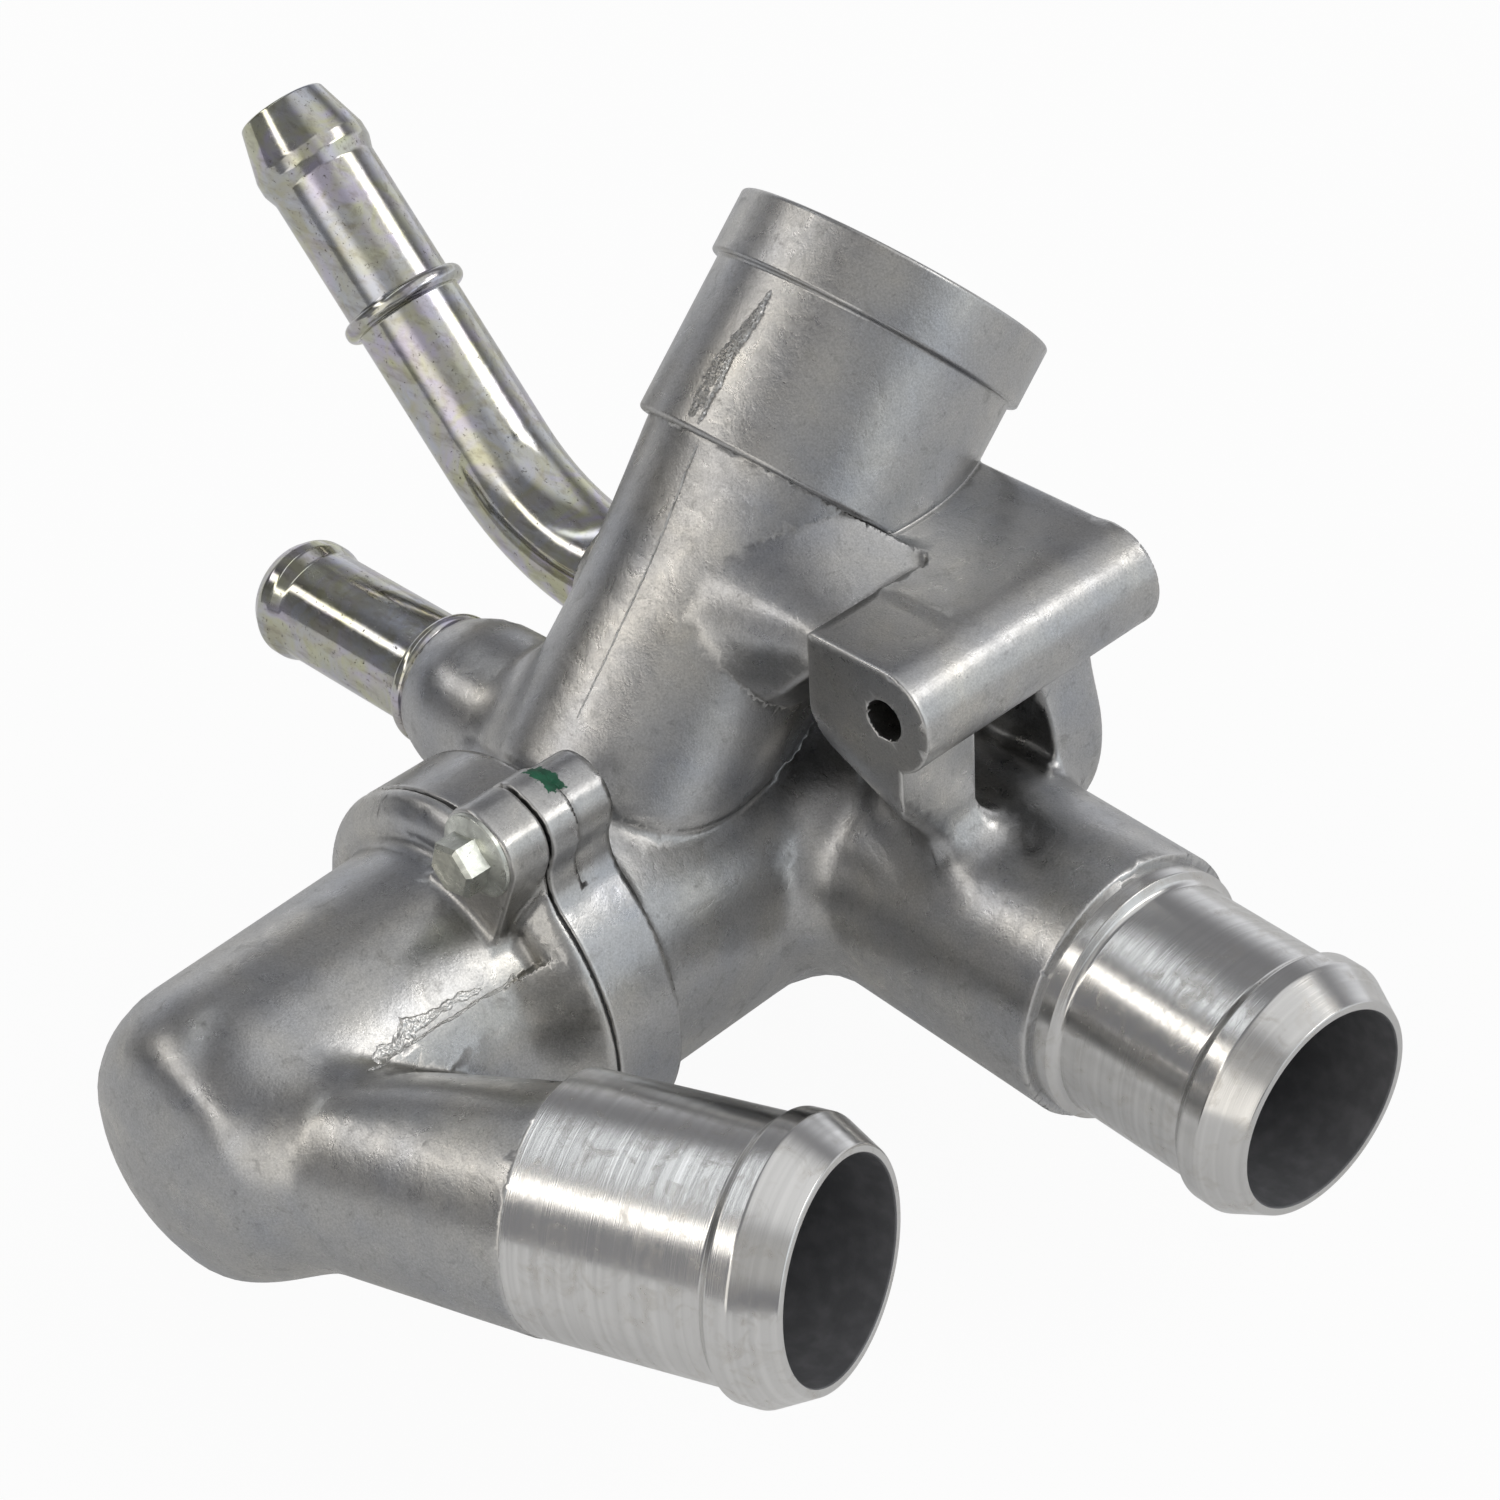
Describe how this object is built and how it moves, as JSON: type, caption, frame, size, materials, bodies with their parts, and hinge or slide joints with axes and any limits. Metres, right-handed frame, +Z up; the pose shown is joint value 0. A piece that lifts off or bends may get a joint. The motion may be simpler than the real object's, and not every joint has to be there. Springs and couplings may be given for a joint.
{
  "type": "coolant water outlet",
  "caption": "Cast coolant outlet with a bolted cover over a wax valve, two hose spigots, a tilted pipe socket and two steel hose tubes.",
  "frame": {"origin": "centre of the coolant inlet on the engine face", "axes": "+Y out of the engine face along the valve axis, -Y towards the cover, +X towards the hose spigots, +Z up"},
  "size_m": [0.2372, 0.176, 0.1415],
  "materials": {
    "cast_housing": "satin die-cast skin with turned spigot",
    "cast_cover": "satin die-cast skin with turned spigot",
    "zinc_tube": "bright zinc plate with stains",
    "zinc_bolt": "dull zinc plate",
    "black_rubber": "matt",
    "valve_steel": "pressed stainless sheet",
    "valve_brass": "plain pressed brass",
    "bright_steel": "ground",
    "spring_steel": "drawn wire",
    "wax": "wax with copper powder"
  },
  "bodies": {
    "casting": {"housing": "cast_housing", "valve_cover": "cast_cover", "joint_seal": "black_rubber", "cover_bolts": "zinc_bolt", "long_tube": "zinc_tube", "short_tube": "zinc_tube", "valve_frame": "valve_steel", "spring_retainer": "valve_steel", "piston_pin": "bright_steel", "main_spring": "spring_steel", "face_seal": "black_rubber"},
    "valve": {"poppet": "valve_brass", "poppet_seal": "black_rubber", "wax_cup": "valve_brass", "guide_cap": "valve_brass", "capsule_sleeve": "black_rubber", "wax_pellet": "wax", "stem_clip": "valve_steel", "bypass_spring": "spring_steel"},
    "bypass": {"bypass_disc": "valve_steel"},
    "air_vent": {"jiggle_pin": "valve_brass"}
  },
  "joints": [
    {"name": "valve_lift", "type": "slide", "parent": "casting", "child": "valve", "axis": [0, 1, 0], "range_m": [0, 0.008], "stiffness_N_per_m": 2000, "springref_m": -0.01, "deforming": ["main_spring"]},
    {"name": "bypass_slide", "type": "slide", "parent": "valve", "child": "bypass", "axis": [0, 1, 0], "range_m": [-0.0025, 0], "stiffness_N_per_m": 400, "springref_m": 0.003, "deforming": ["bypass_spring"]},
    {"name": "vent_play", "type": "slide", "parent": "casting", "child": "air_vent", "axis": [0, 1, 0], "range_m": [0, 0.0012]}
  ]
}
